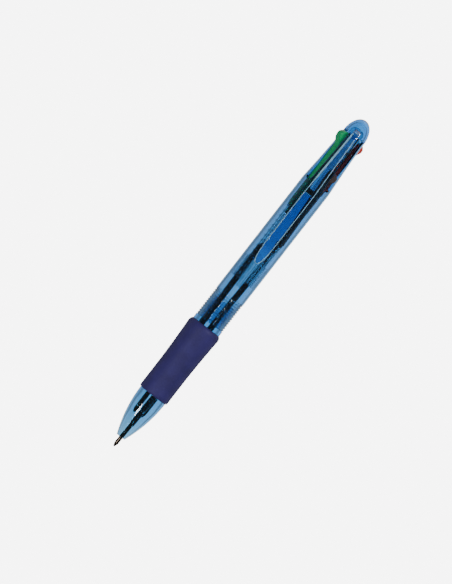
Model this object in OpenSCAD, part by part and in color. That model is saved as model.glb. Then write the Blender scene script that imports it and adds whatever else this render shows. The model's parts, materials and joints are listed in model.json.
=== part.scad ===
// Multicolour click pen: clear barrel and clip, rubber grip, four colour refills on sliding buttons.
// Every length is in millimetres. Stations along the pen are measured from the nose opening
// towards the cap, and radii from the pen's axis.

/* [Body] */
// Length from the nose opening to the end of the cap
body_length = 144; // [142:0.5:148]
// Outer diameter of the upper barrel
barrel_d = 11.8; // [11.8:0.1:12.4]
// Length of the nose in front of the grip
nose_length = 19; // [17:0.5:21]
// Outer diameter of the nose at its opening
nose_tip_d = 3.6; // [3.5:0.1:4.2]
// Outer diameter of the nose where it meets the grip
nose_base_d = 11.1; // [10.8:0.1:11.6]
// Length of the rubber grip
grip_length = 31.2; // [28:0.2:33]
// Outer diameter of the straight front stretch of the grip
grip_d = 12.2; // [12:0.1:12.6]
// Largest outer diameter near the rear of the grip
grip_flare_d = 13.4; // [13:0.1:14]
// Number of fine ribs round the front of the upper barrel
rib_count = 12; // [8:1:13]

/* [Clip] */
// Station of the clip's free end
clip_tip = 79; // [76:0.5:84]
// Width of the clip's blade
clip_w = 3.9; // [3.4:0.1:4.2]

/* [Mechanism] */
// Travel of each colour slider from released to pushed
travel = 14.4; // [13:0.1:14.4]
// How far the pushed refill stands out of the nose
point_reach = 4.3; // [3.5:0.1:4.5]
// Width of a slider's button across the barrel
button_w = 2.5; // [2.2:0.1:2.6]
// Outer diameter of a refill tube
refill_d = 2.2; // [2:0.1:2.2]
// Colour that is pushed out for writing
pushed_colour = "black"; // [black, green, red, blue, none]

/* [Hidden] */

$fn = 64;

// Shell radii
barrel_r = barrel_d / 2;
barrel_bore = barrel_r - 0.9;
seat_r = barrel_bore - 0.1;
spigot_r = barrel_bore - 0.15;
lower_bore = 4.1;
nose_hole = 1.4;
nose_wall = 1.2;
nose_steps = 14;

// Stations of the shell's joints
grip_start = nose_length;
grip_end = grip_start + grip_length;
collar_length = 2;
collar_end = grip_end + collar_length;
spigot_end = collar_end + 9.2;
rib_pitch = 1;
rib_end = collar_end + rib_count * rib_pitch;
cap_start = body_length - 7;
taper_start = cap_start - 22.6;
cap_base_r = barrel_r - 1.28;
slot_start = cap_start - 22.4;
slot_w = button_w + 0.2;

// Guide block, which carries the springs
guide_start = 71;
guide_end = 80;

// Slider, at its released place: its shoulder takes the spring, its stem plugs the refill
shoulder = cap_start - 34;
shoulder_r = 1.45;
stem_length = 3;
stem_r = 0.6;
bar_in = 2.95;
bar_out = 4.7;
bar_w = button_w;
slider_back = cap_start - 0.5;
button_front = slider_back - 6;
button_top = 7.05;
button_drop = 2.5;

// Refill, measured back from its writing tip to the pivot on the slider's stem
pivot_back = stem_length / 2;
pivot_r = 3.45;
pivot = shoulder - pivot_back;
refill_reach = pivot - travel + point_reach;
released_tip_r = 2.45;
pushed_tip_r = 0.15;
released_tilt = atan((pivot_r - released_tip_r) / refill_reach);
pushed_tilt = atan((pivot_r - pushed_tip_r) / refill_reach);
refill_axis = refill_reach / cos(released_tilt);
tube_r = refill_d / 2;
tube_bore = tube_r - 0.32;
neck_r = 0.95;
neck_bore = 0.62;
neck_end = 16;
point_end = 10;
point_r = 0.8;
ball_r = 0.35;
ink_end = 75.4;
spring_in = tube_r + 0.06;
spring_out = spring_in + 0.26;
spring_gap = 0.08;

// Places of the four colours round the axis, counted from the clip
angle_green = 45;
angle_black = -45;
angle_red = -135;
angle_blue = 135;

// The pen lies along X on the flare of its grip, clip up, centred between tip and cap
mid = (body_length - point_reach) / 2;
axis_height = grip_flare_d / 2;

function is_pushed(colour) = colour == pushed_colour;

// Outer radius of the nose at a station, a blunt curve that ends square to the grip
function nose_r(s) =
    let (rest = 1 - s / nose_length)
    nose_tip_d / 2 + (nose_base_d - nose_tip_d) / 2 * (1 - rest * rest);

// Inner radius of the nose, whose wall thins towards the opening
function nose_in(s) =
    min(lower_bore, max(nose_hole, nose_r(s) - min(nose_wall, 0.4 + 0.08 * s)));

module pen_frame() {
    translate([-mid, 0, axis_height])
        children();
}

// Turns a closed outline of [station, radius] points about the pen's axis
module turned(outline) {
    rotate([0, 90, 0])
        rotate_extrude($fn = 96)
            polygon([for (p = outline) [p[1], p[0]]]);
}

module rod(start, end, r) {
    translate([start, 0, 0])
        rotate([0, 90, 0])
            cylinder(h = end - start, r = r);
}

module cone(start, end, start_r, end_r) {
    translate([start, 0, 0])
        rotate([0, 90, 0])
            cylinder(h = end - start, r1 = start_r, r2 = end_r);
}

// Places one colour's parts at its angle; positive angles lie on the left of the clip
module at_angle(angle) {
    rotate([-angle, 0, 0])
        children();
}

// Extrudes a side outline of [station, height] points across the pen
module plate(outline, width) {
    translate([0, width / 2, 0])
        rotate([90, 0, 0])
            linear_extrude(height = width)
                polygon(outline);
}

// Nose, grip seat, collar and the threaded spigot in one clear moulding
module lower_barrel() {
    thread_start = collar_end + 1.2;
    thread_pitch = 0.9;
    thread_turns = 7;
    nose_outer = [for (i = [0 : nose_steps]) let (s = nose_length * i / nose_steps) [s, nose_r(s)]];
    nose_inner = [for (i = [nose_steps : -1 : 0]) let (s = nose_length * i / nose_steps) [s, nose_in(s)]];
    thread = [
        for (i = [0 : thread_turns - 1], edge = [0 : 1])
        [thread_start + (i + edge / 2) * thread_pitch, edge == 0 ? spigot_r - 0.25 : spigot_r]
    ];
    color([0.42, 0.68, 0.9, 0.4])
        pen_frame()
            turned(concat(
                nose_outer,
                [
                    [grip_start, seat_r], [grip_end, seat_r],
                    [grip_end, barrel_r - 0.2], [grip_end + 0.2, barrel_r],
                    [collar_end - 0.2, barrel_r], [collar_end, barrel_r - 0.2],
                    [collar_end, spigot_r - 0.25]
                ],
                thread,
                [
                    [spigot_end, spigot_r - 0.25], [spigot_end, lower_bore + 0.05],
                    [grip_end - 4, lower_bore + 0.05], [grip_end - 5, lower_bore]
                ],
                nose_inner
            ));
}

// Soft sleeve, straight in front and flared before its rounded rear end
module grip_sleeve() {
    front_r = grip_d / 2;
    flare_r = grip_flare_d / 2;
    round_r = 0.6;
    straight_end = grip_start + grip_length * 0.58;
    rear_length = 1.8;
    flare_peak = grip_end - rear_length;
    front_round = [for (a = [0 : 15 : 90])
        [grip_start + round_r * (1 - sin(a)), front_r - round_r * (1 - cos(a))]];
    flare = [for (i = [1 : 8])
        let (f = i / 8)
        [straight_end + f * (flare_peak - straight_end), front_r + (flare_r - front_r) * (1 - cos(180 * f)) / 2]];
    rear_round = [for (a = [15 : 15 : 90])
        [flare_peak + rear_length * sin(a), flare_r - 1.1 * (1 - cos(a))]];
    color([0.13, 0.13, 0.38])
        pen_frame()
            turned(concat(
                [for (i = [len(front_round) - 1 : -1 : 0]) front_round[i]],
                [[straight_end, front_r]],
                flare,
                rear_round,
                [[grip_end, seat_r + 0.05], [grip_start, seat_r + 0.05]]
            ));
}

// Outer radius of the barrel at a station of its taper
function taper_r(s) =
    let (f = (s - taper_start) / (cap_start - taper_start))
    barrel_r - (barrel_r - cap_base_r) * (1 - pow(1 - f, 1.35));

// Clear tube with fine ribs in front, four button slots behind and a taper to the cap
module upper_barrel() {
    rib_root = barrel_r - 0.3;
    ribs = [
        for (i = [0 : rib_count - 1], edge = [0 : 2])
        [
            collar_end + (i + [0.12, 0.38, 0.88][edge]) * rib_pitch,
            [rib_root, barrel_r, barrel_r][edge]
        ]
    ];
    taper = [for (i = [0 : 8])
        let (s = taper_start + i / 8 * (cap_start - taper_start))
        [s, taper_r(s)]];
    taper_inside = [for (i = [8 : -1 : 0])
        [taper[i][0], taper[i][1] - 0.85]];
    color([0.42, 0.68, 0.9, 0.4])
        pen_frame()
            difference() {
                turned(concat(
                    [[collar_end, rib_root]],
                    ribs,
                    [[rib_end, rib_root], [rib_end + 0.3, barrel_r]],
                    taper,
                    taper_inside,
                    [[taper_start - 0.1, barrel_bore], [collar_end, barrel_bore]]
                ));
                for (angle = [angle_green, angle_black, angle_red, angle_blue])
                    at_angle(angle)
                        button_slot();
            }
}

// Straight slot through one side of the barrel, with a round front end
module button_slot() {
    depth = barrel_r;
    translate([slot_start + slot_w / 2, -slot_w / 2, 2.2])
        cube([cap_start - slot_start, slot_w, depth]);
    translate([slot_start + slot_w / 2, 0, 2.2])
        cylinder(h = depth, d = slot_w);
}

// Side outline of the clip: a thick blade with a bump, a thin neck, and a root in the dome
function clip_outline() =
    let (
        top = barrel_r + 2.05,
        blade_end = cap_start - 27.3,
        under = barrel_r + 0.55
    )
    [
        [clip_tip, barrel_r + 0.75], [clip_tip + 0.8, barrel_r + 0.2], [clip_tip + 2.2, barrel_r + 0.15],
        [clip_tip + 4.5, under], [blade_end, under], [blade_end + 0.5, under + 0.45],
        [cap_start - 5, under + 0.45], [cap_start - 1, under - 0.2], [cap_start + 0.5, cap_base_r - 0.5],
        [cap_start + 2, cap_base_r - 1.6], [cap_start + 5, cap_base_r - 2],
        [cap_start + 4.8, cap_base_r - 0.9], [cap_start + 3.9, cap_base_r + 1.1],
        [cap_start + 2.2, cap_base_r + 2.3], [cap_start - 0.5, top - 0.55],
        [cap_start - 5, top - 0.2], [blade_end, top], [clip_tip + 9, top - 0.25], [clip_tip + 3, top - 0.6],
        [clip_tip + 0.6, top - 1.05]
    ];

// Plan outline of the clip: a round-pointed tip, a parallel blade and a neck that narrows
function clip_plan() =
    let (
        half = clip_w / 2,
        tip_length = 9,
        side = [for (i = [0 : 8])
            let (f = i / 8)
            [clip_tip + tip_length * f * f, half * sin(90 * pow(f, 0.9))]],
        neck = [[cap_start - 27.3, half + 0.05], [cap_start + 2, 0.95], [cap_start + 5.4, 0.9]]
    )
    concat(
        [for (p = side) p],
        neck,
        [for (i = [len(neck) - 1 : -1 : 0]) [neck[i][0], -neck[i][1]]],
        [for (i = [len(side) - 1 : -1 : 1]) [side[i][0], -side[i][1]]]
    );

// Domed cap with the clip moulded on, and four lugs that key into the barrel
module cap_with_clip() {
    dome_length = body_length - cap_start;
    lug_r = cap_base_r - 0.95;
    dome = [for (a = [0 : 7.5 : 90])
        [cap_start + dome_length * sin(a), cap_base_r * cos(a)]];
    hollow = [for (a = [90 : -15 : 0])
        [cap_start + (dome_length - 1.3) * sin(a), (cap_base_r - 1.2) * cos(a)]];
    color([0.25, 0.5, 0.88, 0.5])
        pen_frame() {
            difference() {
                union() {
                    turned(concat(dome, hollow));
                    turned([[cap_start - 1.4, lug_r - 0.8], [cap_start - 1.4, lug_r], [cap_start, lug_r],
                        [cap_start + 0.6, lug_r], [cap_start + 0.6, lug_r - 0.8]]);
                    intersection() {
                        plate(clip_outline(), clip_w + 2);
                        linear_extrude(height = barrel_d)
                            polygon(clip_plan());
                    }
                }
                for (angle = [angle_green, angle_black, angle_red, angle_blue])
                    at_angle(angle)
                        translate([cap_start - 2, -slot_w / 2, lug_r - 1.2])
                            cube([2, slot_w, 2]);
                turned([for (i = [len(hollow) - 1 : -1 : 0]) [hollow[i][0] - 0.01, hollow[i][1] * 0.999]]);
            }
        }
}

// Block fixed in the barrel that guides the refills and takes the thrust of their springs
module guide_block() {
    hole_r = tube_r + 0.1;
    key_length = 3.2;
    color([0.82, 0.88, 0.92, 0.7])
        pen_frame()
            difference() {
                union() {
                    rod(guide_start + 0.4, guide_end, barrel_bore - 0.1);
                    cone(guide_start, guide_start + 0.4, barrel_bore - 0.5, barrel_bore - 0.1);
                    rod(guide_start - 2.4, guide_start, 1.1);
                }
                for (angle = [angle_green, angle_black, angle_red, angle_blue])
                    at_angle(angle)
                        refill_hole(hole_r);
                translate([guide_start + 0.9, -0.6, barrel_bore - 1.1])
                    cube([key_length, 1.2, 2]);
                rod(guide_start - 3, guide_end + 1, 0.6);
            }
}

// Hole that is longer towards the axis, so that a refill can lean as it comes forward
module refill_hole(hole_r) {
    near_axis = 2.9;
    far_axis = 3.3;
    for (r = [near_axis, far_axis])
        translate([0, 0, r])
            rod(guide_start - 1, guide_end + 1, hole_r);
    translate([guide_start - 1, -hole_r, near_axis])
        cube([guide_end - guide_start + 2, 2 * hole_r, far_axis - near_axis]);
}

// Post under the cap with a ledge that a pushed slider drops in front of
module latch_core() {
    ledge = slider_back - travel + 0.25;
    core_front = cap_start - 27.1;
    ledge_r = bar_in - (slider_back - pivot) * sin(button_drop) - 0.2;
    core_r = bar_in - 0.2;
    color([0.2, 0.34, 0.66, 0.7])
        pen_frame() {
            turned([
                [core_front, 0], [core_front, 0.95], [core_front + 0.3, 1.25], [core_front + 2.4, 1.25],
                [core_front + 2.7, 0.8], [ledge, 0.8], [ledge, ledge_r], [slider_back, core_r],
                [cap_start + 1.5, core_r], [cap_start + 3.2, 1.4], [cap_start + 3.2, 0]
            ]);
            for (angle = [0, 90, 180, 270])
                at_angle(angle)
                    core_web();
        }
}

// Thin web of the latch core, standing between the paths of two neighbouring sliders
module core_web() {
    web_in = 2.35;
    web_w = 0.8;
    web_start = slot_start - 2;
    web_end = cap_start - 1.6;
    rim = [for (i = [0 : 4])
        let (s = taper_start + i / 4 * (web_end - taper_start))
        [s, taper_r(s) - 1.05]];
    plate(concat([[web_start, web_in], [web_start, rim[0][1]]], rim, [[web_end, web_in]]), web_w);
}

// Moves a colour's slider from released to pushed: forward, with its button dropping inwards
module slider_place(colour) {
    if (is_pushed(colour))
        translate([pivot - travel, 0, pivot_r])
            rotate([0, button_drop, 0])
                translate([-pivot, 0, -pivot_r])
                    children();
    else
        children();
}

// Puts a refill, built tip first along the axis from zero, on its slider's pivot
module refill_place(colour) {
    tilt = is_pushed(colour) ? pushed_tilt : released_tilt;
    station = is_pushed(colour) ? pivot - travel : pivot;
    translate([station, 0, pivot_r])
        rotate([0, -tilt, 0])
            translate([-refill_axis, 0, 0])
                children();
}

// Sliding bar with a ramped thumb button, a spring shoulder and a stem for the refill
module slider(paint, colour, angle) {
    button = [
        [button_front, bar_out - 0.4], [button_front, bar_out], [button_front + 2.9, button_top - 0.35],
        [button_front + 3.5, button_top - 0.05], [button_front + 4.1, button_top],
        [button_front + 4.9, button_top - 0.3], [button_front + 5.6, button_top - 1.1],
        [slider_back, button_top - 2], [slider_back, bar_out - 0.4]
    ];
    color(paint)
        pen_frame()
            at_angle(angle)
                slider_place(colour) {
                    translate([0, 0, pivot_r]) {
                        rod(shoulder - stem_length, shoulder + 1, stem_r);
                        rod(shoulder, shoulder + 1.4, shoulder_r);
                    }
                    translate([shoulder + 0.8, -bar_w / 2, bar_in])
                        cube([slider_back - shoulder - 0.8, bar_w, bar_out - bar_in]);
                    plate(button, button_w);
                }
}

// Space of one compression spring round its refill, between the guide block and the shoulder
module return_spring(colour, angle) {
    tilt = is_pushed(colour) ? pushed_tilt : released_tilt;
    station = is_pushed(colour) ? pivot - travel : pivot;
    front = guide_end + spring_gap - station;
    back = pivot_back - spring_gap;
    color([0.75, 0.76, 0.78])
        pen_frame()
            at_angle(angle)
                translate([station, 0, pivot_r])
                    rotate([0, -tilt, 0])
                        difference() {
                            rod(front, back, spring_out);
                            rod(front - 1, back + 1, spring_in);
                        }
}

// Clear refill tube with a narrow neck that holds the point
module refill_tube(colour, angle) {
    tube_end = refill_axis + pivot_back - 0.15;
    color([0.86, 0.9, 0.92, 0.5])
        pen_frame()
            at_angle(angle)
                refill_place(colour)
                    turned([
                        [point_end, neck_r], [neck_end, neck_r], [neck_end + 1, tube_r], [tube_end, tube_r],
                        [tube_end, tube_bore], [neck_end + 1, tube_bore], [neck_end - 0.5, neck_bore],
                        [point_end, neck_bore]
                    ]);
}

// Column of ink in the tube
module ink(paint, colour, angle) {
    column_r = tube_bore - 0.03;
    color(paint)
        pen_frame()
            at_angle(angle)
                refill_place(colour)
                    rod(neck_end + 1.1, ink_end, column_r);
}

// Metal point: cone, shank and the tail pressed into the neck, with the ball's socket and ink channel
module point(colour, angle) {
    tail_end = neck_end - 2;
    tail_r = neck_bore - 0.03;
    socket_r = ball_r + 0.01;
    channel_r = 0.2;
    color([0.72, 0.58, 0.36])
        pen_frame()
            at_angle(angle)
                refill_place(colour)
                    turned([
                        [ball_r - 0.05, socket_r], [ball_r - 0.05, socket_r + 0.05],
                        [ball_r + 0.2, ball_r + 0.13], [1.35, point_r - 0.06], [1.6, point_r],
                        [point_end, point_r], [point_end, tail_r], [tail_end, tail_r],
                        [tail_end, channel_r], [2.2 * ball_r + 0.2, channel_r], [2.2 * ball_r, socket_r]
                    ]);
}

// Ball that turns in the tip of the point
module writing_ball(colour, angle) {
    color([0.6, 0.6, 0.63])
        pen_frame()
            at_angle(angle)
                refill_place(colour)
                    translate([ball_r, 0, 0])
                        sphere(r = ball_r);
}

module slider_black() slider([0.05, 0.05, 0.06], "black", angle_black);
module slider_green() slider([0.0, 0.58, 0.3], "green", angle_green);
module slider_red() slider([0.9, 0.3, 0.18], "red", angle_red);
module slider_blue() slider([0.1, 0.25, 0.8], "blue", angle_blue);

module return_spring_black() return_spring("black", angle_black);
module return_spring_green() return_spring("green", angle_green);
module return_spring_red() return_spring("red", angle_red);
module return_spring_blue() return_spring("blue", angle_blue);

module refill_tube_black() refill_tube("black", angle_black);
module refill_tube_green() refill_tube("green", angle_green);
module refill_tube_red() refill_tube("red", angle_red);
module refill_tube_blue() refill_tube("blue", angle_blue);

module ink_black() ink([0.02, 0.02, 0.04], "black", angle_black);
module ink_green() ink([0.0, 0.25, 0.15], "green", angle_green);
module ink_red() ink([0.55, 0.05, 0.08], "red", angle_red);
module ink_blue() ink([0.03, 0.06, 0.4], "blue", angle_blue);

module point_black() point("black", angle_black);
module point_green() point("green", angle_green);
module point_red() point("red", angle_red);
module point_blue() point("blue", angle_blue);

module writing_ball_black() writing_ball("black", angle_black);
module writing_ball_green() writing_ball("green", angle_green);
module writing_ball_red() writing_ball("red", angle_red);
module writing_ball_blue() writing_ball("blue", angle_blue);

lower_barrel();
grip_sleeve();
upper_barrel();
cap_with_clip();
guide_block();
latch_core();
slider_black();
slider_green();
slider_red();
slider_blue();
return_spring_black();
return_spring_green();
return_spring_red();
return_spring_blue();
refill_tube_black();
refill_tube_green();
refill_tube_red();
refill_tube_blue();
ink_black();
ink_green();
ink_red();
ink_blue();
point_black();
point_green();
point_red();
point_blue();
writing_ball_black();
writing_ball_green();
writing_ball_red();
writing_ball_blue();
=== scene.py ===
"""Looks of the multicolour click pen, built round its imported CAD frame.

The pen lies along X with its clip up. Lengths in the mesh code are in millimetres: a station is
measured along the pen from the nose opening towards the cap, and heights and radii from its axis.
"""

import json
import math

import bmesh
import bpy
from mathutils import Matrix, Vector


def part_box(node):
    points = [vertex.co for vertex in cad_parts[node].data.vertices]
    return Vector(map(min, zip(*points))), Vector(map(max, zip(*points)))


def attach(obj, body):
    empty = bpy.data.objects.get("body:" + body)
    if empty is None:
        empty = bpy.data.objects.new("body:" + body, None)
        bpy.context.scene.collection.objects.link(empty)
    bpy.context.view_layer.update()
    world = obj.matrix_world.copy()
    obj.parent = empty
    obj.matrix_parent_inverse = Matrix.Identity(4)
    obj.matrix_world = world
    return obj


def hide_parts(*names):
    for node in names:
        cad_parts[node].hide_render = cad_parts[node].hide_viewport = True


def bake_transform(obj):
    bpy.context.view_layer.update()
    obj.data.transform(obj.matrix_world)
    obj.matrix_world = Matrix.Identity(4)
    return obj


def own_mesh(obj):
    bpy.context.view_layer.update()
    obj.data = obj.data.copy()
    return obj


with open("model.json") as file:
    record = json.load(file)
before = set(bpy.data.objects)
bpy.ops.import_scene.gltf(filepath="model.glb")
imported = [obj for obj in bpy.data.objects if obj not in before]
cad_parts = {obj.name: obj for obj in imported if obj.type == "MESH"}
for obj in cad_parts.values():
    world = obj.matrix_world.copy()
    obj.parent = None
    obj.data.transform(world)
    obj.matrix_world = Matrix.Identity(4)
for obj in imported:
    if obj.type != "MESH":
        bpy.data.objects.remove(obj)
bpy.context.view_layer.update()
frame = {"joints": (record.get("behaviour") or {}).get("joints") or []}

MM = 0.001
COLOURS = ("black", "green", "red", "blue")

# Measures, from the frame and from a few sizes of the real pen

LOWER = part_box("lower_barrel")
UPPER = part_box("upper_barrel")
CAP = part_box("cap_with_clip")
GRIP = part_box("grip_sleeve")
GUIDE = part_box("guide_block")
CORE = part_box("latch_core")
NOSE_X = LOWER[0].x
AXIS_Z = (UPPER[0].z + UPPER[1].z) / 2
JOINTS = {j["name"]: j for j in frame["joints"]}


def station(x):
    """Station, in millimetres, of a frame coordinate along X."""
    return (x - NOSE_X) / MM


BARREL_R = (UPPER[1].z - UPPER[0].z) / 2 / MM
BARREL_WALL = 0.9
BARREL_BORE = BARREL_R - BARREL_WALL
GRIP_FRONT_R = 6.1
GRIP_FLARE_R = (GRIP[1].z - GRIP[0].z) / 2 / MM
GRIP_START = station(GRIP[0].x)
GRIP_END = station(GRIP[1].x)
COLLAR_END = station(UPPER[0].x)
SPIGOT_END = station(LOWER[1].x)
CAP_START = station(UPPER[1].x)
BODY_END = station(CAP[1].x)
CLIP_TIP = station(CAP[0].x)
CLIP_TOP = (CAP[1].z - AXIS_Z) / MM
GUIDE_BOSS = 2.4
GUIDE_START = station(GUIDE[0].x) + GUIDE_BOSS
GUIDE_END = station(GUIDE[1].x)
CORE_START = station(CORE[0].x)
CAP_BASE_R = BARREL_R - 1.28
SEAT_R = BARREL_BORE - 0.1
SPIGOT_R = BARREL_BORE - 0.15
BUTTON_W = 2.5
SLOT_W = BUTTON_W + 0.2
SLOT_START = CAP_START - 22.4
TAPER_START = CAP_START - 22.6
RIBS_LENGTH = 12
CLIP_TIP_LENGTH = 9
CLIP_BLADE_END = CAP_START - 27.3
CLIP_STRAIGHT_END = CAP_START - 1.5
CLIP_BEND_R = 3.3
CLIP_BEND_DEG = 86
BUTTON_BACK = CAP_START - 0.5
SLIDE_TRAVEL = JOINTS["green_slide"]["range_m"][1] / MM
SHOULDER = CAP_START - 34
TUBE_PAST_PIVOT = 1.5
PIVOT = SHOULDER - TUBE_PAST_PIVOT
PIVOT_R = 3.45
TUBE_R = 1.1
TUBE_BORE = 0.78
BALL_R = 0.35
POINT_R = 0.8
SPRING_WIRE_R = 0.13
SPRING_MEAN_R = TUBE_R + 0.06 + SPRING_WIRE_R

PEN = Matrix.Translation((NOSE_X, 0, AXIS_Z)) @ Matrix.Scale(MM, 4)


# Mesh tools


def make_piece(name, verts, faces, material, place=PEN, sharp_deg=38):
    """A closed mesh object from millimetre points, smooth but for its sharp edges."""
    mesh = bpy.data.meshes.new(name)
    mesh.from_pydata([place @ Vector(v) for v in verts], [], faces)
    bm = bmesh.new()
    bm.from_mesh(mesh)
    bmesh.ops.remove_doubles(bm, verts=bm.verts, dist=1e-7)
    bmesh.ops.recalc_face_normals(bm, faces=bm.faces)
    bm.to_mesh(mesh)
    bm.free()
    mesh.shade_smooth()
    mesh.set_sharp_from_angle(angle=math.radians(sharp_deg))
    mesh.materials.append(material)
    obj = bpy.data.objects.new(name, mesh)
    bpy.context.scene.collection.objects.link(obj)
    return obj


def apply_modifiers(obj):
    """Makes the object's modifiers a part of its mesh."""
    bpy.context.view_layer.update()
    evaluated = obj.evaluated_get(bpy.context.evaluated_depsgraph_get())
    mesh = bpy.data.meshes.new_from_object(evaluated)
    obj.modifiers.clear()
    obj.data = mesh


def combine(base, others, operation, sharp_deg=38):
    """Joins other pieces to the base, or cuts them from it, and removes them."""
    for other in others:
        modifier = base.modifiers.new("combine", "BOOLEAN")
        modifier.operation = operation
        modifier.solver = "EXACT"
        modifier.object = other
    apply_modifiers(base)
    for other in others:
        bpy.data.objects.remove(other)
    base.data.shade_smooth()
    base.data.set_sharp_from_angle(angle=math.radians(sharp_deg))


def soften(obj, width, angle_deg=38, segments=2):
    """Rounds the piece's sharp edges by a width in millimetres."""
    modifier = obj.modifiers.new("soft edges", "BEVEL")
    modifier.width = width * MM
    modifier.segments = segments
    modifier.limit_method = "ANGLE"
    modifier.angle_limit = math.radians(angle_deg)
    modifier.harden_normals = False
    apply_modifiers(obj)
    obj.data.shade_smooth()
    obj.data.set_sharp_from_angle(angle=math.radians(70))


def fillet(outline, radius, steps=3, least_turn_deg=25):
    """Rounds the corners of a closed outline, but not points on the axis."""
    points = [Vector(p) for p in outline]
    rounded = []
    for i, p in enumerate(points):
        before = points[i - 1] - p
        after = points[(i + 1) % len(points)] - p
        turn = math.pi - before.angle(after, math.pi)
        if p.y < 1e-6 or math.degrees(turn) < least_turn_deg:
            rounded.append(tuple(p))
            continue
        cut = radius * math.tan(turn / 2)
        start = p + before.normalized() * min(cut, before.length * 0.45)
        end = p + after.normalized() * min(cut, after.length * 0.45)
        for k in range(steps + 1):
            f = k / steps
            q = start * (1 - f) ** 2 + p * 2 * f * (1 - f) + end * f**2
            rounded.append(tuple(q))
    return rounded


def lathe(outline, segments=96):
    """Vertices and faces of a closed (station, radius) outline turned about X."""
    verts, faces, rings = [], [], []
    for s, r in outline:
        if r < 1e-6:
            rings.append([len(verts)])
            verts.append((s, 0, 0))
            continue
        rings.append(list(range(len(verts), len(verts) + segments)))
        for k in range(segments):
            a = 2 * math.pi * k / segments
            verts.append((s, r * math.sin(a), r * math.cos(a)))
    for a, b in zip(rings, rings[1:] + rings[:1]):
        if len(a) == 1 and len(b) == 1:
            continue
        for i in range(segments):
            j = (i + 1) % segments
            if len(a) == 1:
                faces.append((a[0], b[j], b[i]))
            elif len(b) == 1:
                faces.append((a[i], a[j], b[0]))
            else:
                faces.append((a[i], a[j], b[j], b[i]))
    return verts, faces


def rounded_section(half_w, low, high, corner, crown=0.0, steps=4):
    """Points (y, z) round a rounded rectangle, its top raised in the middle by crown."""
    corner = min(corner, half_w * 0.98, (high - low) * 0.49)
    corners = ((1, 1, 0), (1, -1, 90), (-1, -1, 180), (-1, 1, 270))
    points = []
    for side, up, start in corners:
        centre = Vector((side * (half_w - corner), high - corner if up > 0 else low + corner))
        for k in range(steps + 1):
            a = math.radians(start + 90 * k / steps)
            points.append(centre + corner * Vector((math.sin(a), math.cos(a))))
    points += [Vector((y * (half_w - corner), high)) for y in (-0.5, 0, 0.5)]
    section = []
    for p in points:
        lift = crown * (1 - (p.x / half_w) ** 2) if p.y > high - corner else 0
        section.append((p.x, p.y + lift))
    return section


def loft(sections):
    """Vertices and faces of a closed skin over rings that have equal counts of points."""
    verts, faces = [], []
    count = len(sections[0])
    for ring in sections:
        verts += ring
    for i in range(len(sections) - 1):
        for k in range(count):
            a, b = i * count + k, i * count + (k + 1) % count
            faces.append((a, b, b + count, a + count))
    faces.append(tuple(range(count)))
    last = (len(sections) - 1) * count
    faces.append(tuple(last + k for k in reversed(range(count))))
    return verts, faces


def sweep_wire(points, radii, sides=8):
    """Vertices and faces of a round wire along points, with a radius at each point."""
    rings = []
    normal = Vector((0, 0, 1))
    for i, p in enumerate(points):
        ahead = points[min(i + 1, len(points) - 1)] - points[max(i - 1, 0)]
        tangent = ahead.normalized()
        normal = (normal - tangent * normal.dot(tangent)).normalized()
        side = tangent.cross(normal)
        ring = []
        for k in range(sides):
            a = 2 * math.pi * k / sides
            ring.append(tuple(p + radii[i] * (math.cos(a) * normal + math.sin(a) * side)))
        rings.append(ring)
    return loft(rings)


# Material tools


def new_material(name):
    """A material with a Principled shader; returns material, nodes, links and shader."""
    material = bpy.data.materials.new(name)
    material.use_nodes = True
    tree = material.node_tree
    return material, tree.nodes, tree.links, tree.nodes["Principled BSDF"]


def noise_value(nodes, links, scale, detail=3.0, stretch=(1, 1, 1)):
    """A noise texture in object space, as its value socket."""
    coords = nodes.new("ShaderNodeTexCoord")
    mapping = nodes.new("ShaderNodeMapping")
    mapping.inputs["Scale"].default_value = stretch
    texture = nodes.new("ShaderNodeTexNoise")
    texture.inputs["Scale"].default_value = scale
    texture.inputs["Detail"].default_value = detail
    links.new(coords.outputs["Object"], mapping.inputs["Vector"])
    links.new(mapping.outputs["Vector"], texture.inputs["Vector"])
    return texture.outputs["Fac"]


def remap(nodes, links, value, low, high):
    """Maps a 0 to 1 value to the range low to high."""
    node = nodes.new("ShaderNodeMapRange")
    node.inputs["To Min"].default_value = low
    node.inputs["To Max"].default_value = high
    links.new(value, node.inputs["Value"])
    return node.outputs["Result"]


def blend_colours(nodes, links, value, dark, light):
    """A colour ramp between two colours."""
    ramp = nodes.new("ShaderNodeValToRGB")
    ramp.color_ramp.elements[0].color = (*dark, 1)
    ramp.color_ramp.elements[1].color = (*light, 1)
    ramp.color_ramp.elements[0].position = 0.3
    ramp.color_ramp.elements[1].position = 0.7
    links.new(value, ramp.inputs["Fac"])
    return ramp.outputs["Color"]


def add_bump(nodes, links, shader, value, strength, depth_mm):
    """Bumps the shader's normal by a value, with its depth in millimetres."""
    bump = nodes.new("ShaderNodeBump")
    bump.inputs["Strength"].default_value = strength
    bump.inputs["Distance"].default_value = depth_mm * MM
    links.new(value, bump.inputs["Height"])
    links.new(bump.outputs["Normal"], shader.inputs["Normal"])


def shade(tone, factor):
    """A colour made lighter or darker."""
    return tuple(min(1.0, c * factor) for c in tone)


def clear_plastic(name, tone, depth_tone, density, rough=(0.04, 0.09), ior=1.49):
    """Clear moulded plastic that gets deeper in colour where it is thick."""
    material, nodes, links, shader = new_material(name)
    mottle = noise_value(nodes, links, 260)
    links.new(
        blend_colours(nodes, links, mottle, shade(tone, 0.97), tone),
        shader.inputs["Base Color"],
    )
    links.new(remap(nodes, links, noise_value(nodes, links, 900), *rough), shader.inputs["Roughness"])
    shader.inputs["Transmission Weight"].default_value = 1.0
    shader.inputs["IOR"].default_value = ior
    depth = nodes.new("ShaderNodeVolumeAbsorption")
    depth.inputs["Color"].default_value = (*depth_tone, 1)
    depth.inputs["Density"].default_value = density
    links.new(depth.outputs["Volume"], nodes["Material Output"].inputs["Volume"])
    return material


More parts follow.
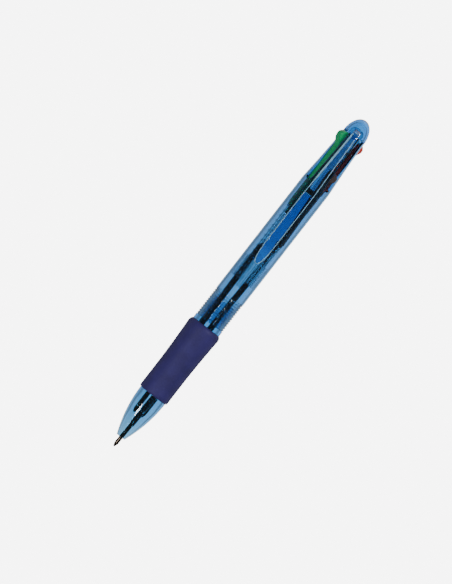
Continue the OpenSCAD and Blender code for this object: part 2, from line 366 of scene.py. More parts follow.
def moulded_plastic(name, tone, rough=(0.22, 0.34)):
    """Opaque satin plastic with faint mottling."""
    material, nodes, links, shader = new_material(name)
    mottle = noise_value(nodes, links, 700)
    links.new(
        blend_colours(nodes, links, mottle, shade(tone, 0.85), shade(tone, 1.12)),
        shader.inputs["Base Color"],
    )
    links.new(remap(nodes, links, noise_value(nodes, links, 1500), *rough), shader.inputs["Roughness"])
    shader.inputs["Specular IOR Level"].default_value = 0.4
    add_bump(nodes, links, shader, noise_value(nodes, links, 1400), 0.06, 0.01)
    return material


def grip_rubber(name, tone):
    """Soft rubber: fine grain, dull sheen and a little wear."""
    material, nodes, links, shader = new_material(name)
    cloud = noise_value(nodes, links, 180, 4.0)
    links.new(
        blend_colours(nodes, links, cloud, shade(tone, 0.82), shade(tone, 1.2)),
        shader.inputs["Base Color"],
    )
    links.new(remap(nodes, links, noise_value(nodes, links, 2200), 0.5, 0.68), shader.inputs["Roughness"])
    shader.inputs["Specular IOR Level"].default_value = 0.35
    shader.inputs["Sheen Weight"].default_value = 0.05
    shader.inputs["Sheen Roughness"].default_value = 0.45
    shader.inputs["Sheen Tint"].default_value = (0.55, 0.55, 0.9, 1)
    add_bump(nodes, links, shader, noise_value(nodes, links, 2400, 2.0), 0.15, 0.01)
    return material


def frosted_plastic(name, tone, clearness, ior, rough):
    """Translucent plastic, cloudy inside: the clearer it is, the less light it scatters back."""
    material, nodes, links, shader = new_material(name)
    cloud = noise_value(nodes, links, 500, 4.0)
    links.new(
        blend_colours(nodes, links, cloud, shade(tone, 0.9), tone),
        shader.inputs["Base Color"],
    )
    links.new(remap(nodes, links, noise_value(nodes, links, 1200), *rough), shader.inputs["Roughness"])
    shader.inputs["Transmission Weight"].default_value = clearness
    shader.inputs["IOR"].default_value = ior
    add_bump(nodes, links, shader, cloud, 0.15, 0.03)
    return material


def turned_metal(name, tone, rough=(0.14, 0.28), line_scale=3200):
    """Metal with fine turning lines round its axis."""
    material, nodes, links, shader = new_material(name)
    lines = noise_value(nodes, links, line_scale, 2.0, (1, 0.03, 0.03))
    links.new(
        blend_colours(nodes, links, lines, shade(tone, 0.8), shade(tone, 1.1)),
        shader.inputs["Base Color"],
    )
    links.new(remap(nodes, links, lines, *rough), shader.inputs["Roughness"])
    shader.inputs["Metallic"].default_value = 1.0
    add_bump(nodes, links, shader, lines, 0.2, 0.01)
    return material


def ink_fluid(name, tone):
    """Dark glossy ink seen through its tube."""
    material, nodes, links, shader = new_material(name)
    cloud = noise_value(nodes, links, 600)
    links.new(
        blend_colours(nodes, links, cloud, shade(tone, 0.7), shade(tone, 1.3)),
        shader.inputs["Base Color"],
    )
    links.new(remap(nodes, links, cloud, 0.18, 0.3), shader.inputs["Roughness"])
    return material


def white_to_camera(nodes, links, shader_output, shader_type, final_input):
    """Shows a surface or sky plain white to the camera, and as it is to every other ray."""
    white = nodes.new(shader_type)
    white.inputs["Strength"].default_value = BACKDROP_WHITE
    both = nodes.new("ShaderNodeMixShader")
    path = nodes.new("ShaderNodeLightPath")
    links.new(path.outputs["Is Camera Ray"], both.inputs["Fac"])
    links.new(shader_output, both.inputs[1])
    links.new(white.outputs[0], both.inputs[2])
    links.new(both.outputs["Shader"], final_input)


def floor_surface(name):
    """Plain pale floor: a light table under the pen, darker beside it so that clear edges show."""
    material, nodes, links, shader = new_material(name)
    nodes.remove(shader)
    coords = nodes.new("ShaderNodeTexCoord")
    axes = nodes.new("ShaderNodeSeparateXYZ")
    across = nodes.new("ShaderNodeMapRange")
    across.inputs["From Min"].default_value = -FLOOR_SPAN * MM
    across.inputs["From Max"].default_value = FLOOR_SPAN * MM
    ramp = nodes.new("ShaderNodeValToRGB")
    ramp.color_ramp.elements[0].color = (*([FLOOR_LIGHT[0][1]] * 3), 1)
    ramp.color_ramp.elements[1].color = (*([FLOOR_LIGHT[-1][1]] * 3), 1)
    for across_mm, level in FLOOR_LIGHT[1:-1]:
        stop = ramp.color_ramp.elements.new((across_mm + FLOOR_SPAN) / (2 * FLOOR_SPAN))
        stop.color = (level, level, level, 1)
    table = nodes.new("ShaderNodeEmission")
    table.inputs["Strength"].default_value = 1.0
    links.new(coords.outputs["Object"], axes.inputs["Vector"])
    links.new(axes.outputs["Y"], across.inputs["Value"])
    links.new(across.outputs["Result"], ramp.inputs["Fac"])
    links.new(ramp.outputs["Color"], table.inputs["Color"])
    surface = nodes["Material Output"].inputs["Surface"]
    white_to_camera(nodes, links, table.outputs[0], "ShaderNodeEmission", surface)
    return material


# Materials: a clear plastic has a surface tone, a depth tone and a depth density for each metre

CLEAR_BLUE = clear_plastic("clear blue plastic", (0.42, 0.7, 0.93), (0.05, 0.55, 0.87), 480, ior=1.55)
LIGHT_BLUE = clear_plastic("light clear blue plastic", (0.54, 0.81, 0.97), (0.05, 0.6, 0.92), 450, ior=1.5)
CLIP_BLUE = clear_plastic("clear clip plastic", (0.9, 0.97, 1.0), (0.03, 0.52, 0.79), 2400, ior=1.5)
# Opaque pale plastic for the clip's rim bead: a painted highlight of the light caught by the clip's edges
RIM_PAINTED_HIGHLIGHT = moulded_plastic("clip rim painted highlight", (0.34, 0.66, 0.92))
CORE_BLUE = clear_plastic("pale core plastic", (0.9, 0.93, 1.0), (0.6, 0.62, 0.66), 260, ior=1.42)
DOME_BLUE = clear_plastic("clear dome plastic", (0.43, 0.76, 0.97), (0.02, 0.54, 0.9), 560, ior=1.5)
NECK_BLUE = clear_plastic("clear neck plastic", (0.6, 0.78, 0.9), (0.1, 0.5, 0.75), 480, ior=1.55)
# Near-black plastic for the core's front end: painted shade for the dark patch under the clip's root
CORE_END_PAINTED_SHADE = moulded_plastic("core end painted shade", (0.01, 0.03, 0.07))
RUBBER = grip_rubber("navy grip rubber", (0.03, 0.022, 0.14))
FROSTED = frosted_plastic("frosted plastic", (0.9, 0.95, 0.97), 0.95, 1.15, (0.08, 0.2))
SPRING_STEEL = turned_metal("spring steel", (0.72, 0.73, 0.75), (0.15, 0.3), 900)
POINT_METAL = turned_metal("nickel silver", (0.055, 0.044, 0.034))
CARBIDE = turned_metal("carbide", (0.55, 0.55, 0.57), (0.08, 0.15))
TUBE_CLEAR = clear_plastic("clear refill plastic", (0.96, 0.97, 0.98), (0.7, 0.85, 0.9), 60, (0.04, 0.1))
SLIDER_TONES = {
    "black": (0.05, 0.032, 0.032),
    "green": (0.0, 0.4, 0.13),
    "red": (0.75, 0.045, 0.03),
    "blue": (0.01, 0.05, 0.6),
}
NECK_TONES = {
    "black": (0.008, 0.008, 0.01),
    "green": (0.0, 0.05, 0.03),
    "red": (0.3, 0.01, 0.01),
    "blue": (0.005, 0.01, 0.2),
}
INK_TONES = {
    "black": (0.004, 0.004, 0.008),
    "green": (0.0, 0.03, 0.03),
    "red": (0.16, 0.0, 0.01),
    "blue": (0.005, 0.01, 0.12),
}


# Shell pieces, which ride on the barrel


def nose_radius(s):
    """Outer radius of the nose, a blunt curve that ends square to the grip."""
    tip_r, base_r = 1.8, 5.55
    rest = 1 - s / GRIP_START
    return tip_r + (base_r - tip_r) * (1 - rest * rest)


def nose_bore(s):
    """Inner radius of the nose, whose wall thins towards its opening."""
    return min(4.1, max(1.4, nose_radius(s) - min(1.2, 0.4 + 0.08 * s)))


def build_lower_barrel():
    """Nose, seat under the grip, collar and threaded spigot, as one clear turned shape."""
    steps = 40
    stations = [GRIP_START * i / steps for i in range(steps + 1)]
    outer = [(s, nose_radius(s)) for s in stations]
    inner = [(s, nose_bore(s)) for s in reversed(stations)]
    pitch = 0.9
    turns = 7
    thread_depth = 0.25
    root_r = SPIGOT_R - thread_depth
    thread = []
    for i in range(turns):
        start = COLLAR_END + 1.2 + i * pitch
        for f, lift in ((0.0, 0.0), (0.25, 0.5), (0.5, 1.0), (0.75, 0.5)):
            thread.append((start + f * pitch, root_r + thread_depth * lift))
    outline = outer + [
        (GRIP_START, SEAT_R),
        (GRIP_END, SEAT_R),
        (GRIP_END, BARREL_R),
        (COLLAR_END, BARREL_R),
        (COLLAR_END, root_r),
        *thread,
        (SPIGOT_END, root_r),
        (SPIGOT_END, 4.15),
        (GRIP_END - 4, 4.15),
        (GRIP_END - 5, 4.1),
        *inner,
    ]
    verts, faces = lathe(fillet(outline, 0.14), 128)
    piece = make_piece("clear_nose_and_collar", verts, faces, LIGHT_BLUE, sharp_deg=50)
    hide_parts("lower_barrel")
    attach(piece, "barrel")


def build_grip():
    """Rubber sleeve: round front edge, straight stretch, swell to the flare, rounded rear end."""
    inner_r = SEAT_R + 0.05
    front_round = 0.6
    rear_length = 1.8
    rear_drop = 1.1
    straight_start = GRIP_START + front_round
    straight_end = GRIP_START + (GRIP_END - GRIP_START) * 0.38
    flare_peak = GRIP_END - rear_length
    outline = [(GRIP_START, inner_r)]
    for degrees in range(90, -1, -15):
        a = math.radians(degrees)
        s = GRIP_START + front_round * (1 - math.sin(a))
        outline.append((s, GRIP_FRONT_R - front_round * (1 - math.cos(a))))
    for i in range(1, 7):
        outline.append((straight_start + (straight_end - straight_start) * i / 6, GRIP_FRONT_R))
    for i in range(1, 25):
        f = i / 24
        s = straight_end + f * (flare_peak - straight_end)
        outline.append((s, GRIP_FRONT_R + (GRIP_FLARE_R - GRIP_FRONT_R) * f**1.5))
    for degrees in range(10, 91, 10):
        a = math.radians(degrees)
        s = flare_peak + rear_length * math.sin(a)
        outline.append((s, GRIP_FLARE_R - rear_drop * (1 - math.cos(a))))
    outline.append((GRIP_END, inner_r))
    verts, faces = lathe(outline, 128)
    piece = make_piece("rubber_grip", verts, faces, RUBBER, sharp_deg=60)
    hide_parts("grip_sleeve")
    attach(piece, "barrel")


def barrel_outer(s):
    """Outer radius of the upper barrel: ribbed in front, tapered behind."""
    rib_depth = 0.3
    past_collar = s - COLLAR_END
    if past_collar < RIBS_LENGTH:
        wave = 0.5 - 0.5 * math.cos(2 * math.pi * (past_collar - 0.1))
        return BARREL_R - rib_depth + rib_depth * min(1, 1.25 * wave) ** 0.8
    if s <= TAPER_START:
        return BARREL_R
    f = (s - TAPER_START) / (CAP_START - TAPER_START)
    return BARREL_R - (BARREL_R - CAP_BASE_R) * (1 - (1 - f) ** 1.35)


def barrel_inner(s):
    """Inner radius of the upper barrel, whose wall is a little thinner along the taper."""
    if s <= TAPER_START:
        return BARREL_BORE
    return min(BARREL_BORE, barrel_outer(s) - 0.85)


def slot_half_width(s):
    """Half the width of a button slot at a station, zero in front of it."""
    end_r = SLOT_W / 2
    past = s - SLOT_START
    if past <= 0:
        return 0.0
    return end_r if past >= end_r else math.sqrt(end_r**2 - (end_r - past) ** 2)


def build_upper_barrel():
    """The slotted tube, as four sectors that part where the slots begin."""
    columns = 24
    plain_start = COLLAR_END + RIBS_LENGTH + 0.4
    slot_full = SLOT_START + SLOT_W / 2
    stations = [COLLAR_END + i / 10 for i in range(10 * RIBS_LENGTH + 4)]
    stations += [plain_start + (SLOT_START - plain_start) * i / 24 for i in range(25)]
    stations += [SLOT_START + SLOT_W / 2 * (1 - math.cos(math.radians(a))) for a in range(9, 91, 9)]
    stations += [slot_full + (CAP_START - slot_full) * i / 24 for i in range(1, 25)]
    stations = sorted(set(round(s, 5) for s in stations))
    verts, faces = [], []
    for sector in range(4):
        first = math.radians(-45 + 90 * sector)
        last = first + math.pi / 2
        base = len(verts)
        for s in stations:
            for r in (barrel_outer(s), barrel_inner(s)):
                lead = math.asin(slot_half_width(s) / r)
                for c in range(columns + 1):
                    a = first + lead + (last - first - 2 * lead) * c / columns
                    verts.append((s, r * math.sin(a), r * math.cos(a)))
        ring = columns + 1
        step = 2 * ring
        for i in range(len(stations) - 1):
            o = base + i * step
            n = o + step
            for c in range(columns):
                faces.append((o + c, o + c + 1, n + c + 1, n + c))
                faces.append((o + ring + c, n + ring + c, n + ring + c + 1, o + ring + c + 1))
            if stations[i] >= SLOT_START - 1e-4:
                faces.append((o, n, n + ring, o + ring))
                faces.append((o + columns, o + ring + columns, n + ring + columns, n + columns))
        for i, end in ((0, base), (1, base + (len(stations) - 1) * step)):
            for c in range(columns):
                quad = (end + c, end + c + 1, end + ring + c + 1, end + ring + c)
                faces.append(quad if i else quad[::-1])
    piece = make_piece("clear_upper_barrel", verts, faces, CLEAR_BLUE, sharp_deg=50)
    soften(piece, 0.1, 50)
    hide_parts("upper_barrel")
    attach(piece, "barrel")


def clip_half_width(s):
    """Half the clip's width: a round-pointed tip, a parallel blade, a narrowing neck."""
    half = 1.95
    tip_end = CLIP_TIP + CLIP_TIP_LENGTH
    if s < tip_end:
        f = math.sqrt(max(s - CLIP_TIP, 0) / CLIP_TIP_LENGTH)
        return max(0.12, half * math.sin(math.pi / 2 * f**0.9))
    if s < CLIP_BLADE_END:
        return half + 0.05 * (s - tip_end) / (CLIP_BLADE_END - tip_end)
    f = min(1, (s - CLIP_BLADE_END) / (CAP_START + 2 - CLIP_BLADE_END))
    return half + 0.05 - (half - 0.9) * f


def smooth(f):
    """Eases 0 to 1 in and out."""
    f = min(1.0, max(0.0, f))
    return f * f * (3 - 2 * f)


def clip_heights(s):
    """Underside and top of the clip's straight stretch at a station.

    The tip is thin and slopes up, a small foot under it comes near the barrel, and the underside
    steps up where the blade becomes the neck.
    """
    past_tip = s - CLIP_TIP
    past_blade = s - CLIP_BLADE_END
    high = CLIP_TOP - 1.13 + 0.8 * smooth(past_tip / CLIP_TIP_LENGTH) + 0.25 * smooth((past_tip - 6) / 26)
    high -= 0.2 * smooth((past_blade - 10) / 18)
    foot = smooth((past_tip + 0.6) / 1.6) - smooth((past_tip - 2.2) / 2.6)
    low = BARREL_R + 0.55 - 0.38 * foot
    low += 0.2 * (1 - smooth(past_tip))
    low += 0.45 * smooth(past_blade / 0.5)
    return low, high


def clip_bend(angle_deg):
    """Middle of the clip's thickness on its bend down into the dome, and its outward direction."""
    low, high = clip_heights(CLIP_STRAIGHT_END)
    a = math.radians(angle_deg)
    drop = CLIP_BEND_R * (1 - math.cos(a))
    centre = Vector((CLIP_STRAIGHT_END + CLIP_BEND_R * math.sin(a), 0, (low + high) / 2 - drop))
    return centre, Vector((math.sin(a), 0, math.cos(a)))


def clip_rings():
    """Rings of points of the clip, from its tip along the barrel and down into the dome."""
    tip_end = CLIP_TIP + CLIP_TIP_LENGTH
    step_end = CLIP_BLADE_END + 0.6
    near_tip = [CLIP_TIP + CLIP_TIP_LENGTH * (i / 22) ** 2 for i in range(23)]
    along = [tip_end + (CLIP_BLADE_END - tip_end) * i / 14 for i in range(1, 15)]
    step = [CLIP_BLADE_END + 0.1 * i for i in range(1, 7)]
    neck = [step_end + (CLIP_STRAIGHT_END - step_end) * i / 14 for i in range(1, 15)]
    rings = []
    for s in near_tip + along + step + neck:
        low, high = clip_heights(s)
        section = rounded_section(clip_half_width(s), low, high, 0.34, 0.05)
        rings.append([(s, y, z) for y, z in section])
    low, high = clip_heights(CLIP_STRAIGHT_END)
    half_thick = (high - low) / 2
    for i in range(1, 13):
        f = i / 12
        centre, up = clip_bend(CLIP_BEND_DEG * f)
        thick = half_thick * (1 + 0.35 * f)
        half = clip_half_width(CLIP_STRAIGHT_END) * (1 + 0.12 * f)
        section = rounded_section(half, -thick, thick, 0.34, 0.05)
        rings.append([tuple(centre + up * z + Vector((0, y, 0))) for y, z in section])
    last = math.radians(CLIP_BEND_DEG)
    root = Vector((math.cos(last), 0, -math.sin(last))) * 1.6
    rings.append([tuple(Vector(p) + root) for p in rings[-1]])
    return rings


def arc_block(start, end, r_in, r_out, first_deg, last_deg, steps=10):
    """Vertices and faces of a stretch of ring."""
    rings = []
    for k in range(steps + 1):
        a = math.radians(first_deg + (last_deg - first_deg) * k / steps)
        corners = ((start, r_in), (end, r_in), (end, r_out), (start, r_out))
        rings.append([(s, r * math.sin(a), r * math.cos(a)) for s, r in corners])
    return loft(rings)


def build_cap():
    """Dome with the lugs that key into the barrel."""
    length = BODY_END - CAP_START
    end_wall = 1.3
    side_wall = 1.2
    dome = []
    hollow = []
    for degrees in range(0, 90, 5):
        sine = math.sin(math.radians(degrees))
        cosine = math.cos(math.radians(degrees))
        dome.append((CAP_START + length * sine, CAP_BASE_R * cosine))
        hollow.insert(0, (CAP_START + (length - end_wall) * sine, (CAP_BASE_R - side_wall) * cosine))
    outline = dome + [(BODY_END, 0), (BODY_END - end_wall, 0)] + hollow
    verts, faces = lathe(fillet(outline, 0.12), 128)
    piece = make_piece("clear_cap_dome", verts, faces, DOME_BLUE, sharp_deg=50)
    parts = []
    lug_r = CAP_BASE_R - 0.95
    lug_bore = lug_r - 0.8
    half_deg = 44 - math.degrees(math.asin(SLOT_W / 2 / lug_bore))
    for k in range(4):
        start, end = CAP_START - 1.4, CAP_START + 0.6
        block = arc_block(start, end, lug_bore, lug_r, 90 * k - half_deg, 90 * k + half_deg)
        parts.append(make_piece(f"cap_lug_{k}", *block, DOME_BLUE))
    combine(piece, parts, "UNION", 50)
    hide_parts("cap_with_clip")
    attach(piece, "barrel")


def clip_highlight_bead_path():
    """Points and radii of the rim bead, a painted highlight of the clip's edge: from the bend down one
    edge, round the tip and back.

    The first side is thicker along the neck, where the real edge catches the most light.
    """
    bead_r = 0.17
    neck_r = 0.4
    proud = 0.08
    end = CLIP_STRAIGHT_END
    stations = [end - (end - CLIP_TIP - 1) * (1 - (1 - i / 60) ** 1.5) for i in range(60)]
    stations += [CLIP_TIP + d for d in (0.9, 0.6, 0.4)]
    points = []
    radii = []
    low, high = clip_heights(end)
    for bend_deg in (32, 24, 16, 8):
        middle, up = clip_bend(bend_deg)
        lift = up * ((high - low) / 2 - neck_r + proud)
        points.append(middle + lift + Vector((0, clip_half_width(end) - neck_r * 0.5, 0)))
        radii.append(neck_r * (1.1 - bend_deg / 64))
    for s in stations:
        rise = smooth((s - CAP_START + 26) / 10)
        r = bead_r + (neck_r - bead_r) * rise
        y = clip_half_width(s) - r * (1 - 0.5 * rise)
        points.append(Vector((s, y, clip_heights(s)[1] - r + proud * rise)))
        radii.append(r)
    points.append(Vector((CLIP_TIP + bead_r, 0, clip_heights(CLIP_TIP)[1] - bead_r)))
    for s in reversed(stations):
        points.append(Vector((s, bead_r - clip_half_width(s), clip_heights(s)[1] - bead_r)))
    radii += [bead_r] * (len(points) - len(radii))
    return points, radii


def build_clip():
    """The clip's blade and neck, and the pale bead, a painted highlight, that runs round their top edge.
    """
    rings = clip_rings()
    step = next(i for i, ring in enumerate(rings) if ring[0][0] > CLIP_BLADE_END + 0.2)
    blade = make_piece("clear_clip_blade", *loft(rings[:step]), CLIP_BLUE)
    neck = make_piece("clear_clip_neck", *loft(rings[step:]), NECK_BLUE)
    # The pale bead is a painted highlight along the clip's top edges
    bead = make_piece("clip_rim_painted_highlight", *sweep_wire(*clip_highlight_bead_path()), RIM_PAINTED_HIGHLIGHT)
    for piece in (blade, neck, bead):
        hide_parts("cap_with_clip")
        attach(piece, "barrel")


def stadium_prism(start, end, near, far, r, steps=16):
    """A long round-ended hole's shape, with its flat sides towards and away from the axis."""
    ring = []
    for k in range(2 * steps):
        a = math.pi * k / steps
        centre = far if math.cos(a) >= 0 else near
        ring.append((r * math.sin(a), centre + r * math.cos(a)))
    return loft([[(s, y, z) for y, z in ring] for s in (start, end)])


def at_angle(degrees):
    """Matrix that turns a shape built on the clip's side to another angle round the axis."""
    return PEN @ Matrix.Rotation(math.radians(-degrees), 4, "X")


def build_guide_block():
    """Frosted block with a small front boss, four long refill holes and a key slot under the clip."""
    outer = BARREL_BORE - 0.1
    outline = [
        (GUIDE_START - GUIDE_BOSS, 0.6),
        (GUIDE_START - GUIDE_BOSS, 1.1),
        (GUIDE_START, 1.1),
        (GUIDE_START, outer - 0.4),
        (GUIDE_START + 0.4, outer),
        (GUIDE_END, outer),
        (GUIDE_END, 0.6),
    ]
    verts, faces = lathe(fillet(outline, 0.15), 96)
    piece = make_piece("frosted_guide_block", verts, faces, FROSTED, sharp_deg=50)
    cutters = []
    for colour in COLOURS:
        block = stadium_prism(GUIDE_START - 1, GUIDE_END + 1, 2.9, 3.3, TUBE_R + 0.1)
        cutters.append(make_piece("hole_" + colour, *block, FROSTED, at_angle(ANGLES[colour])))
    key = rounded_section(0.6, outer - 1.0, outer + 1, 0.25)
    key_rings = [[(s, y, z) for y, z in key] for s in (GUIDE_START + 0.9, GUIDE_START + 4.1)]
    cutters.append(make_piece("key_slot", *loft(key_rings), FROSTED))
    combine(piece, cutters, "DIFFERENCE", 50)
    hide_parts("guide_block")
    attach(piece, "barrel")


def web_block():
    """A thin web of the core, between the paths of two neighbouring sliders."""
    end = CAP_START - 1.6
    stations = [SLOT_START - 2]
    stations += [TAPER_START + (end - TAPER_START) * i / 12 for i in range(13)]
    rings = []
    for s in stations:
        section = rounded_section(0.4, 2.35, barrel_outer(s) - 1.05, 0.12, steps=2)
        rings.append([(s, y, z) for y, z in section])
    return loft(rings)


def build_core():
    """Latch core: a front end painted dark as the shade under the clip's root, a thin post, a cone from
    the ledge back, and four webs.
    """
    ledge = BUTTON_BACK - SLIDE_TRAVEL + 0.25
    ledge_r = 1.23
    core_r = 2.75
    front_end = CORE_START + 2.5
    outline = [
        (front_end, 0),
        (front_end, 0.8),
        (ledge, 0.8),
        (ledge, ledge_r),
        (BUTTON_BACK, core_r),
        (CAP_START + 1.5, core_r),
        (CAP_START + 2.2, 2.5),
        (CAP_START + 2.8, 1.8),
        (CAP_START + 3.1, 1.0),
        (CAP_START + 3.2, 0),
    ]
    verts, faces = lathe(fillet(outline, 0.15), 64)
    piece = make_piece("clear_latch_core", verts, faces, CORE_BLUE, sharp_deg=50)
    webs = [make_piece(f"core_web_{k}", *web_block(), CORE_BLUE, at_angle(90 * k)) for k in range(4)]
    combine(piece, webs, "UNION", 50)
    # The front end is painted dark: painted shade under the clip's root
    tip = [(CORE_START, 0), (CORE_START, 1.25), (front_end - 0.02, 1.25), (front_end - 0.02, 0)]
    tip_piece = make_piece("latch_core_end_painted_shade", *lathe(fillet(tip, 0.15), 48), CORE_END_PAINTED_SHADE, sharp_deg=50)
    for part in (piece, tip_piece):
        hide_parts("latch_core")
        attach(part, "barrel")


# Moving pieces, one set for each colour


def joint_angle(colour):
    """Angle of a colour round the axis from the clip, from its pivot in the frame."""
    _, y, z = JOINTS[colour + "_steer"]["pos_m"]
    return math.degrees(math.atan2(y, z - AXIS_Z))


ANGLES = {colour: joint_angle(colour) for colour in COLOURS}


def is_pushed(colour):
    """True if the colour is out at rest, so that its slider can only go back."""
    return JOINTS[colour + "_slide"]["range_m"][0] < 0


def slider_place(colour):
    """Matrix from a slider built in its released place to where it is at rest."""
    place = at_angle(ANGLES[colour])
    if is_pushed(colour):
        travel = -JOINTS[colour + "_slide"]["range_m"][0] / MM
        drop = -math.radians(JOINTS[colour + "_drop"]["range_deg"][0])
        place = (
            place
            @ Matrix.Translation((PIVOT - travel, 0, PIVOT_R))
            @ Matrix.Rotation(drop, 4, "Y")
            @ Matrix.Translation((-PIVOT, 0, -PIVOT_R))
        )
    return place


def build_slider(colour):
    """Stem, spring shoulder, bar and thumb button, as one lofted shape."""
    bar_in = 2.95
    bar_out = 4.7
    half_w = BUTTON_W / 2
    front = BUTTON_BACK - 6
    top = 7.05
    stem_r = 0.6
    disc_r = 1.45

    def round_ring(s, r):
        """Station, half width, underside, top and corner of a round section."""
        return s, r, PIVOT_R - r, PIVOT_R + r, r

    shapes = [
        round_ring(SHOULDER - 3, 0.42),
        round_ring(SHOULDER - 2.8, stem_r),
        round_ring(SHOULDER - 0.02, stem_r),
        round_ring(SHOULDER, disc_r - 0.15),
        round_ring(SHOULDER + 0.12, disc_r),
        round_ring(SHOULDER + 1.25, disc_r),
        (SHOULDER + 1.45, half_w + 0.05, bar_in - 0.6, bar_out + 0.1, 0.5),
        (SHOULDER + 2.2, half_w, bar_in, bar_out, 0.35),
        (front - 1, half_w, bar_in, bar_out, 0.3),
        (front - 0.05, half_w, bar_in, bar_out, 0.3),
    ]
    rise = [
        (0.25, bar_out + 0.14),
        (1.4, bar_out + 0.9),
        (2.7, top - 0.42),
        (3.3, top - 0.12),
        (3.9, top),
        (4.5, top - 0.1),
        (5.0, top - 0.42),
        (5.5, top - 1.05),
        (5.85, top - 1.75),
        (6.0, top - 2.3),
    ]
    shapes += [(front + d, half_w, bar_in, high, 0.3) for d, high in rise]
    rings = []
    for s, half, low, high, corner in shapes:
        rings.append([(s, y, z) for y, z in rounded_section(half, low, high, corner)])
    material = moulded_plastic(colour + " slider plastic", SLIDER_TONES[colour])
    piece = make_piece(colour + "_thumb_slider", *loft(rings), material, slider_place(colour), 42)
    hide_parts("slider_" + colour)
    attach(piece, "slider_" + colour)


def refill_place(colour):
    """Matrix from a refill built along X from its writing tip to where it is at rest."""
    low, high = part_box("writing_ball_" + colour)
    ball = (low + high) / 2
    pivot = Vector(JOINTS[colour + "_steer"]["pos_m"])
    along = (pivot - ball).normalized()
    up = Vector((0, 0, 1))
    side = up.cross(along).normalized()
    up = along.cross(side)
    turn = Matrix((along, side, up)).transposed().to_4x4()
    tip = ball - along * BALL_R * MM
    length = (pivot - tip).length / MM
    return Matrix.Translation(tip) @ turn @ Matrix.Scale(MM, 4), length


def refill_outlines(tube_end):
    """Outlines of a refill's turned parts, by stations from its writing tip."""
    point_end = 10
    neck_end = 16
    tube_start = 17
    ink_end = 75.6
    neck_bore = 0.6
    neck_r = 1.05
    tail_r = 0.59
    socket_r = BALL_R + 0.005
    ink_r = TUBE_BORE + 0.02
    ball = []
    for degrees in range(0, 181, 12):
        a = math.radians(degrees)
        ball.append((BALL_R - BALL_R * math.cos(a), BALL_R * math.sin(a)))
    point = [
        (BALL_R - 0.05, socket_r),
        (BALL_R - 0.05, BALL_R + 0.05),
        (BALL_R + 0.2, BALL_R + 0.13),
        (1.35, POINT_R - 0.06),
        (1.6, POINT_R),
        (point_end - 0.6, POINT_R),
        (point_end - 0.5, POINT_R - 0.06),
        (point_end, POINT_R - 0.06),
        (point_end, tail_r),
        (14, tail_r),
        (14, 0.2),
        (0.97, 0.2),
        (0.77, socket_r),
    ]
    neck = [
        (point_end, neck_bore),
        (point_end, neck_r - 0.1),
        (point_end + 0.4, neck_r),
        (neck_end - 0.4, neck_r),
        (neck_end, neck_r - 0.1),
        (neck_end, neck_bore),
    ]
    tube = [
        (neck_end, neck_r - 0.1),
        (tube_start, TUBE_R),
        (tube_end, TUBE_R),
        (tube_end, TUBE_BORE),
        (tube_start, TUBE_BORE),
        (neck_end, 0.7),
    ]
    ink = [
        (14.2, 0),
        (14.2, 0.58),
        (neck_end, 0.62),
        (tube_start, ink_r),
        (ink_end - 0.2, ink_r),
        (ink_end + 0.3, 0.5),
        (ink_end, 0),
    ]
    return {
        "tube": fillet(tube, 0.08),
        "neck": fillet(neck, 0.05),
        "point": fillet(point, 0.03),
        "ball": ball,
        "ink": ink,
    }


def build_refill(colour):
    """Tube, coloured neck, metal point, writing ball and ink column of one colour."""
    place, length = refill_place(colour)
    outlines = refill_outlines(length + TUBE_PAST_PIVOT - 0.15)
    neck_plastic = moulded_plastic(colour + " neck plastic", NECK_TONES[colour])
    ink = ink_fluid(colour + " ink", INK_TONES[colour])
    made = (
        ("tube", TUBE_CLEAR, "refill_tube_", "refill_plastic"),
        ("neck", neck_plastic, "refill_tube_", "refill_plastic"),
        ("point", POINT_METAL, "point_", "point_metal"),
        ("ball", CARBIDE, "writing_ball_", "carbide"),
        ("ink", ink, "ink_", "ink_" + colour),
    )
    for kind, material, node, slot in made:
        outline = outlines[kind]
        piece = make_piece(f"{colour}_refill_{kind}", *lathe(outline, 48), material, place, 50)
        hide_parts(node + colour)
        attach(piece, "refill_" + colour)


def build_spring(colour):
    """The coil between the guide block and the slider's shoulder, round its refill."""
    place, length = refill_place(colour)
    guide_x = NOSE_X + GUIDE_END * MM
    back = length + TUBE_PAST_PIVOT - SPRING_WIRE_R - 0.02
    pivot = place @ Vector((length, 0, 0))
    along = (place @ Vector((1, 0, 0)) - place @ Vector((0, 0, 0))).normalized()
    front_point = pivot + along * ((guide_x - pivot.x) / along.x)
    front = (place.inverted() @ front_point).x + SPRING_WIRE_R + 0.06
    turns = 12
    per_turn = 22
    closed_pitch = 2 * SPRING_WIRE_R + 0.02
    free = back - front - 2 * closed_pitch
    points = []
    for k in range(turns * per_turn + 1):
        t = k / per_turn
        a = 2 * math.pi * t
        middle = min(max(t - 1, 0), turns - 2) / (turns - 2)
        s = front + closed_pitch * (min(t, 1) + max(t - turns + 1, 0)) + free * middle
        points.append(Vector((s, SPRING_MEAN_R * math.cos(a), SPRING_MEAN_R * math.sin(a))))
    verts, faces = sweep_wire(points, [SPRING_WIRE_R] * len(points))
    piece = make_piece(colour + "_coil_spring", verts, faces, SPRING_STEEL, place, 60)
    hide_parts("return_spring_" + colour)
    if is_pushed(colour):
        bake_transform(piece)
        return
    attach(piece, "barrel")
    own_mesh(piece)


# Studio: floor, lights and camera

BACKDROP_WHITE = 7.0
# The room is lighter low down: each light's level, and the upward slope where it starts or ends
LOW_LIGHT = 0.3
LOW_LIGHT_TOP = 0.25
ROOM_LIGHT = 0.12
ROOM_LIGHT_BOTTOM = 0.45
# Name, place, size and power of each softbox
SOFTBOXES = (
    ("front_softbox", (-0.24, 0.19, 0.50), 0.1, 1.2),
    ("rear_softbox", (0.24, -0.30, 0.50), 0.1, 1.8),
)
FLOOR_SPAN = 60.0
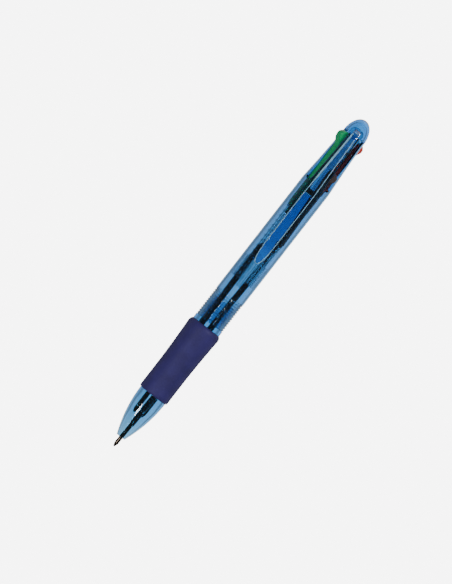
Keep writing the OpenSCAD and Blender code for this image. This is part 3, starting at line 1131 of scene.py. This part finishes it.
# Brightness of the floor at distances across the pen, in millimetres
FLOOR_LIGHT = (
    (-60, 0.6),
    (-16, 0.45),
    (-11.5, 0.4),
    (-8.5, 1.35),
    (-3.5, 1.35),
    (0, 1.3),
    (3, 1.0),
    (6, 1.1),
    (8, 0.9),
    (11, 0.4),
    (16, 0.4),
    (60, 0.6),
)
# Height of the camera's view, station at its middle and its shift, in millimetres
VIEW_HEIGHT = 210.24
VIEW_STATION = 70.34
VIEW_LEFT = 5.22
VIEW_DOWN = 3.42
PEN_LEAN_DEG = 37.87


def build_floor():
    """A large square just under the pen."""
    mesh = bpy.data.meshes.new("studio_floor")
    half = 2.0
    corners = [(-half, -half, 0), (half, -half, 0), (half, half, 0), (-half, half, 0)]
    mesh.from_pydata(corners, [], [(0, 1, 2, 3)])
    mesh.materials.append(floor_surface("studio floor"))
    floor = bpy.data.objects.new("studio_floor", mesh)
    bpy.context.scene.collection.objects.link(floor)
    floor.location.z = -0.0002


def add_softbox(name, location, size, power):
    """A square area light that points at the floor under the pen's middle."""
    data = bpy.data.lights.new(name, "AREA")
    data.shape = "SQUARE"
    data.size = size
    data.energy = power
    light = bpy.data.objects.new(name, data)
    light.location = location
    light.rotation_mode = "QUATERNION"
    light.rotation_quaternion = (-Vector(location)).to_track_quat("-Z", "Y")
    bpy.context.scene.collection.objects.link(light)


def build_lights():
    """Two small softboxes, one over each end of the pen, in a dim room that is lighter low down.

    Neither is square to the pen's length, so that they glint on ribs, buttons and dome but draw
    no line along the smooth tube.
    """
    for name, location, size, power in SOFTBOXES:
        add_softbox(name, location, size, power)
    world = bpy.data.worlds.new("studio")
    world.use_nodes = True
    tree = world.node_tree
    room = tree.nodes["Background"]
    coords = tree.nodes.new("ShaderNodeTexCoord")
    axes = tree.nodes.new("ShaderNodeSeparateXYZ")
    height = tree.nodes.new("ShaderNodeMapRange")
    height.inputs["From Min"].default_value = LOW_LIGHT_TOP
    height.inputs["From Max"].default_value = ROOM_LIGHT_BOTTOM
    height.inputs["To Min"].default_value = LOW_LIGHT
    height.inputs["To Max"].default_value = ROOM_LIGHT
    tree.links.new(coords.outputs["Generated"], axes.inputs["Vector"])
    tree.links.new(axes.outputs["Z"], height.inputs["Value"])
    tree.links.new(height.outputs["Result"], room.inputs["Strength"])
    room.inputs["Color"].default_value = (1, 1, 1, 1)
    surface = tree.nodes["World Output"].inputs["Surface"]
    white_to_camera(tree.nodes, tree.links, room.outputs[0], "ShaderNodeBackground", surface)
    bpy.context.scene.world = world


def build_camera():
    """Looks straight down at the clip, turned so that the pen leans from upright in the frame."""
    turn_angle = math.radians(90 - PEN_LEAN_DEG)
    lens = 200.0
    sensor = 36.0
    data = bpy.data.cameras.new("camera")
    data.lens = lens
    data.sensor_width = sensor
    right = Vector((math.cos(turn_angle), -math.sin(turn_angle), 0))
    up = Vector((math.sin(turn_angle), math.cos(turn_angle), 0))
    aim = Vector((NOSE_X + VIEW_STATION * MM, 0, AXIS_Z))
    aim -= right * VIEW_LEFT * MM + up * VIEW_DOWN * MM
    distance = VIEW_HEIGHT * MM * lens / sensor
    turn = Matrix((right, up, Vector((0, 0, 1)))).transposed().to_4x4()
    camera = bpy.data.objects.new("camera", data)
    camera.matrix_world = Matrix.Translation(aim + Vector((0, 0, distance))) @ turn
    data.clip_end = 10
    bpy.context.scene.collection.objects.link(camera)
    bpy.context.scene.camera = camera


build_lower_barrel()
build_grip()
build_upper_barrel()
build_cap()
build_clip()
build_guide_block()
build_core()
for colour in COLOURS:
    build_slider(colour)
    build_refill(colour)
    build_spring(colour)
build_floor()
build_lights()
build_camera()
